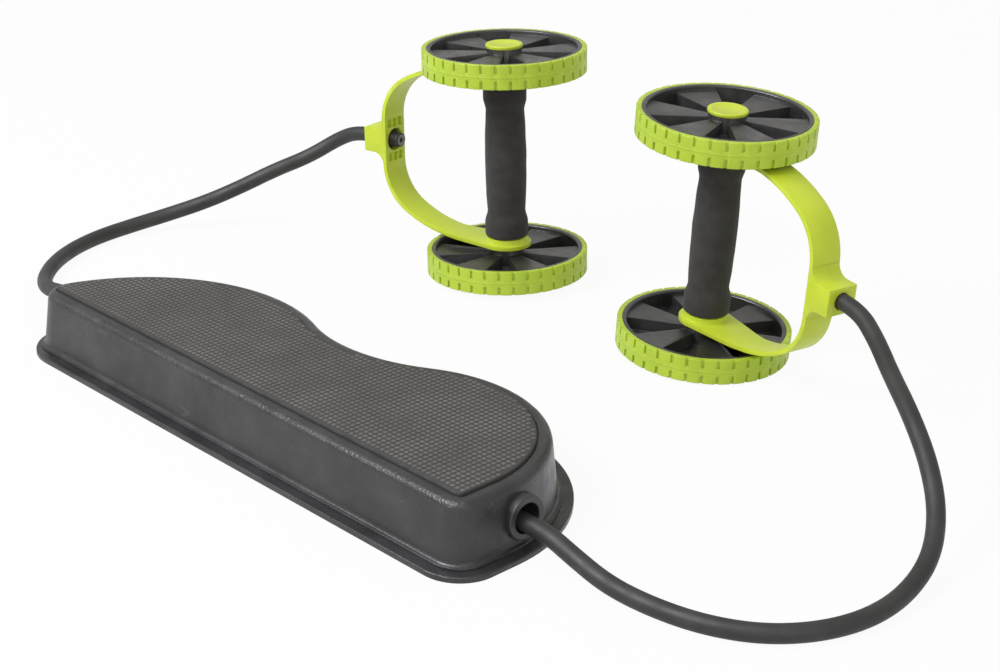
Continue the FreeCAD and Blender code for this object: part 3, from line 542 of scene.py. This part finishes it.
def turned_mesh(name, outline, place, sides, ripple=None):
    """A closed outline of radius and height turned about the Z axis of a place."""
    def build(shape):
        rings = []
        for k in range(sides):
            turn = 2 * math.pi * k / sides
            outwards = Vector((math.cos(turn), math.sin(turn), 0))
            ring = []
            for radius, height in outline:
                point = outwards * radius + Vector((0, 0, height))
                if ripple:
                    point += outwards * ripple(point)
                ring.append(shape.verts.new(place @ point))
            rings.append(ring)
        count = len(outline)
        for ring, after in zip(rings, rings[1:] + rings[:1]):
            for i in range(count):
                n = (i + 1) % count
                shape.faces.new((ring[i], after[i], after[n], ring[n]))
        bmesh.ops.recalc_face_normals(shape, faces=shape.faces)
    return mesh_from(build, name, TURNED_CREASE)


def grip_outline():
    """The foam sleeve's half section: flared ends, a neck inside each and a full middle."""
    neck = GRIP_HALF - GRIP_NECK_INSET
    land = GRIP_HALF - GRIP_LAND
    swell = GRIP_BARREL - GRIP_NECK
    flare = GRIP_END - GRIP_NECK
    points = [(GRIP_CORE, -GRIP_HALF)]
    for i in range(GRIP_ROWS + 1):
        z = GRIP_HALF * (2 * i / GRIP_ROWS - 1)
        far = abs(z)
        if far < neck:
            radius = GRIP_BARREL - swell * (far / neck) ** 2
        elif far < land:
            radius = GRIP_NECK + flare * ease((far - neck) / (land - neck))
        else:
            radius = GRIP_END
        into = far - (GRIP_HALF - GRIP_END_ROUND)
        if into > 0:
            radius -= GRIP_END_ROUND - math.sqrt(max(GRIP_END_ROUND ** 2 - into ** 2, 0))
        points.append((radius, z))
    points.append((GRIP_CORE, GRIP_HALF))
    return points


def foam_ripple(point):
    """How far the foam's outside stands off its outline at a point."""
    if point.xy.length <= GRIP_CORE + FOAM_SKIN:
        return 0
    lumps = noise.noise(point / FOAM_LUMP) * FOAM_LUMP_DEPTH
    return lumps + noise.noise(point / FOAM_PORE) * FOAM_PORE_DEPTH


def foam_grips():
    for side in SIDES:
        name = f"{side}_foam_sleeve"
        mesh = turned_mesh(name, grip_outline(), roller_frame(side), GRIP_SIDES, foam_ripple)
        grip = new_piece(name, mesh)
        grip.data.materials.append(FINISHES["foam"])
        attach(grip, f"{side}_handle")
        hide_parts(f"{side}_foam_grip")


def tube_end_outline():
    """A tube end's half section: through the block, flared behind it and rounded at its tip."""
    rows = [(PLUG_RADIUS, BLOCK_FACE), (TUBE_RADIUS, BLOCK_FACE)]
    rows += [(TUBE_RADIUS, SEAT_FLOOR), (FLARE_RADIUS, SEAT_FLOOR)]
    for i in range(1, FLARE_STEPS + 1):
        share = i / FLARE_STEPS
        radius = FLARE_RADIUS + (TUBE_RADIUS - FLARE_RADIUS) * ease(share)
        rows.append((radius, SEAT_FLOOR + (FLARE_END - SEAT_FLOOR) * share))
    for i in range(TIP_STEPS + 1):
        turn = math.pi / 2 * i / TIP_STEPS
        radius = TUBE_RADIUS - TIP_ROUND * (1 - math.cos(turn))
        rows.append((radius, TUBE_TIP + TIP_ROUND * (1 - math.sin(turn))))
    head_floor = TUBE_TIP + PLUG_HEAD_DEPTH
    return rows + [(PLUG_HEAD, TUBE_TIP), (PLUG_HEAD, head_floor), (PLUG_RADIUS, head_floor)]


def tube_ends():
    """The tube's ends, spread by their plugs behind the blocks, and the stretch inside the platform."""
    for side in SIDES:
        name = f"{side}_tube_tip"
        place = roller_frame(side) @ Matrix.Rotation(math.pi / 2, 4, "Y")
        end = new_piece(name, turned_mesh(name, tube_end_outline(), place, TIP_SIDES))
        end.data.materials.append(FINISHES["tube"])
        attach(end, f"{side}_yoke")
        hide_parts(f"{side}_tube_end")
    left, right = (Vector(route[0]) * MM for route in (LEFT_ROUTE_MM, RIGHT_ROUTE_MM))
    path = [left.lerp(right, i / HIDDEN_TUBE_STEPS) for i in range(HIDDEN_TUBE_STEPS + 1)]
    hidden = new_piece("hidden_tube", tube_along("hidden_tube", path))
    hidden.data.materials.append(FINISHES["tube"])
    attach(hidden, "platform")
    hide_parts("inner_tube")


def tangent_middle(from_middle, span, y):
    """The middle to the left of another one, a span away from it and at a height in the plan."""
    return Vector((from_middle.x - math.sqrt(span ** 2 - (y - from_middle.y) ** 2), y, 0))


def heading(start, end):
    """The direction in the plan from one point to another."""
    return math.atan2(end.y - start.y, end.x - start.x)


def arc(middle, radius, start, end, steps):
    """Points along an arc in the plan, both its ends included."""
    turns = [start + (end - start) * i / steps for i in range(steps + 1)]
    return [middle + Vector((math.cos(t), math.sin(t), 0)) * radius for t in turns]


def pad_outline(spread):
    """The pad's outline moved outwards by a spread, from its right front corner round to its left one."""
    corner_y = PAD_FRONT + PAD_CORNER
    right = Vector((PAD_RIGHT_END - RIGHT_LOBE, corner_y + PAD_END_STRAIGHT, 0))
    waist = tangent_middle(right, RIGHT_LOBE + WAIST_RADIUS, PAD_FRONT + WAIST_DEPTH + WAIST_RADIUS)
    left = tangent_middle(waist, LEFT_LOBE + WAIST_RADIUS, PAD_FRONT + LEFT_LOBE_DEPTH - LEFT_LOBE)
    left_corner = tangent_middle(left, LEFT_LOBE - PAD_CORNER, corner_y)
    right_corner = Vector((PAD_RIGHT_END - PAD_CORNER, corner_y, 0))
    into_waist = heading(right, waist)
    out_of_waist = heading(left, waist)
    into_corner = heading(left, left_corner)
    corner = PAD_CORNER + spread
    points = arc(right_corner, corner, -math.pi / 2, 0, CORNER_STEPS)
    points += arc(right, RIGHT_LOBE + spread, 0, into_waist, LOBE_STEPS)
    points += arc(waist, WAIST_RADIUS - spread, into_waist - math.pi, out_of_waist - math.pi,
                  WAIST_STEPS)[1:]
    points += arc(left, LEFT_LOBE + spread, out_of_waist, into_corner, LOBE_STEPS)[1:]
    points += arc(left_corner, corner, into_corner, 3 * math.pi / 2, CORNER_STEPS)[1:]
    return points


def pad_slab(shape):
    """The mat under the tabs, with a rounded upper edge."""
    levels = [(0, PAD_FLOOR), (0, PAD_FACE - PAD_EDGE_ROUND)]
    for i in range(1, PAD_EDGE_STEPS + 1):
        turn = math.pi / 2 * i / PAD_EDGE_STEPS
        inset = PAD_EDGE_ROUND * (math.cos(turn) - 1)
        levels.append((inset, PAD_FACE - PAD_EDGE_ROUND * (1 - math.sin(turn))))
    rings = []
    for spread, z in levels:
        rings.append([shape.verts.new((p.x, p.y, z)) for p in pad_outline(spread)])
    count = len(rings[0])
    for lower, upper in zip(rings, rings[1:]):
        for i in range(count):
            n = (i + 1) % count
            shape.faces.new((lower[i], lower[n], upper[n], upper[i]))
    shape.faces.new(reversed(rings[0]))
    shape.faces.new(rings[-1])


def tab_tree():
    """Geometry nodes: domed tabs on a square grid, wherever the grid lies over the given outline."""
    tree = bpy.data.node_groups.new("pad_tabs", "GeometryNodeTree")
    face = tree.interface
    face.new_socket("Geometry", in_out="INPUT", socket_type="NodeSocketGeometry")
    for name in ("Columns", "Rows"):
        face.new_socket(name, in_out="INPUT", socket_type="NodeSocketInt")
    for name in ("Field Length", "Field Depth", "Face Height", "Tab Width", "Tab Height"):
        face.new_socket(name, in_out="INPUT", socket_type="NodeSocketFloat")
    face.new_socket("Material", in_out="INPUT", socket_type="NodeSocketMaterial")
    face.new_socket("Geometry", in_out="OUTPUT", socket_type="NodeSocketGeometry")
    nodes = tree.nodes
    links = tree.links
    given = nodes.new("NodeGroupInput")
    # The grid of tab places, lifted to the pad's face
    grid = nodes.new("GeometryNodeMeshGrid")
    links.new(given.outputs["Field Length"], grid.inputs["Size X"])
    links.new(given.outputs["Field Depth"], grid.inputs["Size Y"])
    links.new(given.outputs["Columns"], grid.inputs["Vertices X"])
    links.new(given.outputs["Rows"], grid.inputs["Vertices Y"])
    lift = nodes.new("ShaderNodeCombineXYZ")
    links.new(given.outputs["Face Height"], lift.inputs["Z"])
    field = nodes.new("GeometryNodeTransform")
    links.new(grid.outputs["Mesh"], field.inputs["Geometry"])
    links.new(lift.outputs["Vector"], field.inputs["Translation"])
    # A ray straight down from above each place finds whether the outline lies under it
    above = nodes.new("ShaderNodeVectorMath")
    above.operation = "ADD"
    above.inputs[1].default_value = (0, 0, 1)
    position = nodes.new("GeometryNodeInputPosition")
    links.new(position.outputs["Position"], above.inputs[0])
    over = nodes.new("GeometryNodeRaycast")
    over.inputs["Ray Length"].default_value = 2
    links.new(given.outputs["Geometry"], over.inputs["Target Geometry"])
    links.new(above.outputs["Vector"], over.inputs["Source Position"])
    # One tab is a flattened ball, half sunk in the pad
    dome = nodes.new("GeometryNodeMeshUVSphere")
    dome.inputs["Segments"].default_value = TAB_SEGMENTS
    dome.inputs["Rings"].default_value = TAB_RINGS
    dome.inputs["Radius"].default_value = 1
    half_width = nodes.new("ShaderNodeMath")
    half_width.operation = "MULTIPLY"
    half_width.inputs[1].default_value = 0.5
    links.new(given.outputs["Tab Width"], half_width.inputs[0])
    size = nodes.new("ShaderNodeCombineXYZ")
    links.new(half_width.outputs["Value"], size.inputs["X"])
    links.new(half_width.outputs["Value"], size.inputs["Y"])
    links.new(given.outputs["Tab Height"], size.inputs["Z"])
    tabs = nodes.new("GeometryNodeInstanceOnPoints")
    links.new(field.outputs["Geometry"], tabs.inputs["Points"])
    links.new(over.outputs["Is Hit"], tabs.inputs["Selection"])
    links.new(dome.outputs["Mesh"], tabs.inputs["Instance"])
    links.new(size.outputs["Vector"], tabs.inputs["Scale"])
    real = nodes.new("GeometryNodeRealizeInstances")
    links.new(tabs.outputs["Instances"], real.inputs["Geometry"])
    smooth = nodes.new("GeometryNodeSetShadeSmooth")
    links.new(real.outputs["Geometry"], smooth.inputs["Geometry"])
    coat = nodes.new("GeometryNodeSetMaterial")
    links.new(smooth.outputs["Geometry"], coat.inputs["Geometry"])
    links.new(given.outputs["Material"], coat.inputs["Material"])
    made = nodes.new("NodeGroupOutput")
    links.new(coat.outputs["Geometry"], made.inputs["Geometry"])
    return tree


def set_inputs(modifier, settings):
    """Set a tree's named inputs by their sockets' identifiers."""
    for item in modifier.node_group.interface.items_tree:
        if item.in_out == "INPUT" and item.name in settings:
            modifier[item.identifier] = settings[item.name]


def pad_tabs():
    """A mesh of all the tabs that lie within the pad's margin."""
    def field(shape):
        shape.faces.new([shape.verts.new((p.x, p.y, PAD_FACE)) for p in pad_outline(-TAB_MARGIN)])

    outline = new_piece("tab_field", mesh_from(field, "tab_field"))
    back = max(p.y for p in pad_outline(0))
    columns = int(2 * PAD_RIGHT_END / TAB_PITCH)
    rows = int(2 * back / TAB_PITCH)
    modifier = outline.modifiers.new("tabs", "NODES")
    modifier.node_group = tab_tree()
    set_inputs(modifier, {
        "Columns": columns,
        "Rows": rows,
        "Field Length": (columns - 1) * TAB_PITCH,
        "Field Depth": (rows - 1) * TAB_PITCH,
        "Face Height": PAD_FACE,
        "Tab Width": TAB_WIDTH,
        "Tab Height": TAB_HEIGHT,
        "Material": FINISHES["pad"],
    })
    tabs = evaluated_mesh(outline)
    bpy.data.objects.remove(outline)
    return tabs


def foot_pad():
    def slab_and_tabs(shape):
        pad_slab(shape)
        shape.from_mesh(pad_tabs())

    pad = new_piece("foot_mat", mesh_from(slab_and_tabs, "foot_mat", PAD_CREASE))
    pad.data.materials.append(FINISHES["pad"])
    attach(pad, "platform")
    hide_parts("foot_pad")


def softened(node, name, body, slot):
    """A copy of a moulded solid with its edges rounded, in place of the sharp one."""
    def copied(shape):
        shape.from_mesh(NODES[node].data)
        bmesh.ops.remove_doubles(shape, verts=shape.verts, dist=MERGE_DISTANCE)
        bmesh.ops.dissolve_limit(shape, angle_limit=FLAT_ANGLE, verts=shape.verts, edges=shape.edges)

    piece = new_piece(name, mesh_from(copied, name))
    bevel = piece.modifiers.new("edges", "BEVEL")
    bevel.width = EDGE_WIDTH[slot]
    bevel.segments = EDGE_SEGMENTS
    bevel.limit_method = "ANGLE"
    bevel.angle_limit = EDGE_ANGLE
    bevel.use_clamp_overlap = True
    bevel.harden_normals = False
    mesh = evaluated_mesh(piece)
    piece.modifiers.clear()
    piece.data = mesh
    mesh.shade_smooth()
    mesh.set_sharp_from_angle(angle=MOULDING_CREASE)
    mesh.materials.clear()
    mesh.materials.append(FINISHES[slot])
    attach(piece, body)
    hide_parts(node)
    return piece


def measure_across(tyre, side):
    """Note on a tyre's mesh how far each corner is from the middle of its tread."""
    to_roller = roller_frame(side).inverted()
    across = tyre.data.attributes.new("from_middle", "FLOAT", "POINT")
    for i, corner in enumerate(tyre.data.vertices):
        across.data[i].value = abs((to_roller @ corner.co).z) - WHEEL_MIDDLE


def mouldings():
    for side in SIDES:
        softened(f"{side}_yoke", f"{side}_yoke_moulding", f"{side}_yoke", "yoke")
        for end in ("upper", "lower"):
            body = f"{side}_{end}_roller"
            softened(f"{side}_{end}_wheel", f"{side}_{end}_wheel_moulding", body, "wheel")
            tyre = softened(f"{side}_{end}_tyre", f"{side}_{end}_tyre_band", body, "tyre")
            measure_across(tyre, side)
            softened(f"{side}_{end}_cap", f"{side}_{end}_cap_button", body, "cap")


def dress_frame():
    """Give every solid that stays its own finish."""
    slots = {part["node"]: part["material_slot"] for part in frame["record"]["subparts"]}
    for name, node in NODES.items():
        node.data.materials.clear()
        node.data.materials.append(FINISHES[slots[name]])


def floor_finish():
    """White for the camera and for reflections, with a trace of the shadow on it."""
    material = bpy.data.materials.new("white_sweep")
    material.use_nodes = True
    nodes = material.node_tree.nodes
    links = material.node_tree.links
    nodes.clear()
    path = nodes.new("ShaderNodeLightPath")
    seen = path.outputs["Is Camera Ray"]
    for ray in ("Is Glossy Ray", "Is Transmission Ray"):
        either = nodes.new("ShaderNodeMath")
        either.operation = "MAXIMUM"
        links.new(seen, either.inputs[0])
        links.new(path.outputs[ray], either.inputs[1])
        seen = either.outputs["Value"]
    share = nodes.new("ShaderNodeMath")
    share.operation = "MULTIPLY"
    share.inputs[1].default_value = FLOOR_GLOW_SHARE
    links.new(seen, share.inputs[0])
    paint = nodes.new("ShaderNodeBsdfDiffuse")
    paint.inputs["Color"].default_value = (*FLOOR_PAINT, 1)
    glow = nodes.new("ShaderNodeEmission")
    mix = nodes.new("ShaderNodeMixShader")
    links.new(share.outputs["Value"], mix.inputs["Fac"])
    links.new(paint.outputs["BSDF"], mix.inputs[1])
    links.new(glow.outputs["Emission"], mix.inputs[2])
    out = nodes.new("ShaderNodeOutputMaterial")
    links.new(mix.outputs["Shader"], out.inputs["Surface"])
    return material


def add_floor():
    def square(shape):
        bmesh.ops.create_grid(shape, x_segments=1, y_segments=1, size=FLOOR_HALF)

    ground = new_piece("floor", mesh_from(square, "floor"))
    ground.data.materials.append(floor_finish())


def add_room():
    """An even room round the part, white where the camera sees it."""
    world = bpy.data.worlds.new("room")
    bpy.context.scene.world = world
    world.use_nodes = True
    nodes = world.node_tree.nodes
    links = world.node_tree.links
    room = nodes["Background"]
    room.inputs["Color"].default_value = (*ROOM_TINT, 1)
    path = nodes.new("ShaderNodeLightPath")
    strength = nodes.new("ShaderNodeMapRange")
    strength.inputs["To Min"].default_value = ROOM_LIGHT
    strength.inputs["To Max"].default_value = ROOM_WHITE
    links.new(path.outputs["Is Camera Ray"], strength.inputs["Value"])
    links.new(strength.outputs["Result"], room.inputs["Strength"])


def add_lamp(name, place, size, power, colour):
    """A flat lamp that faces the platform."""
    lamp = bpy.data.lights.new(name, "AREA")
    lamp.shape = "RECTANGLE"
    lamp.size, lamp.size_y = size
    lamp.energy = power
    lamp.color = colour
    panel = bpy.data.objects.new(name, lamp)
    away = Vector(place) - Vector(LAMP_AIM)
    panel.matrix_world = Matrix.Translation(place) @ away.to_track_quat("Z", "Y").to_matrix().to_4x4()
    bpy.context.collection.objects.link(panel)
    return panel


def studio():
    """A white floor, an even room, soft lamps to the left and right and a panel seen only as a sheen."""
    add_floor()
    add_room()
    add_lamp("softbox", **SOFTBOX)
    add_lamp("side_panel", **SIDE_PANEL)
    sheen = add_lamp("sheen_panel", **SHEEN_PANEL)
    sheen.visible_diffuse = False
    sheen.visible_camera = False
    bpy.context.scene.view_settings.view_transform = "Standard"


add_camera()
tubes()
dress_frame()
foot_pad()
foam_grips()
tube_ends()
mouldings()
studio()
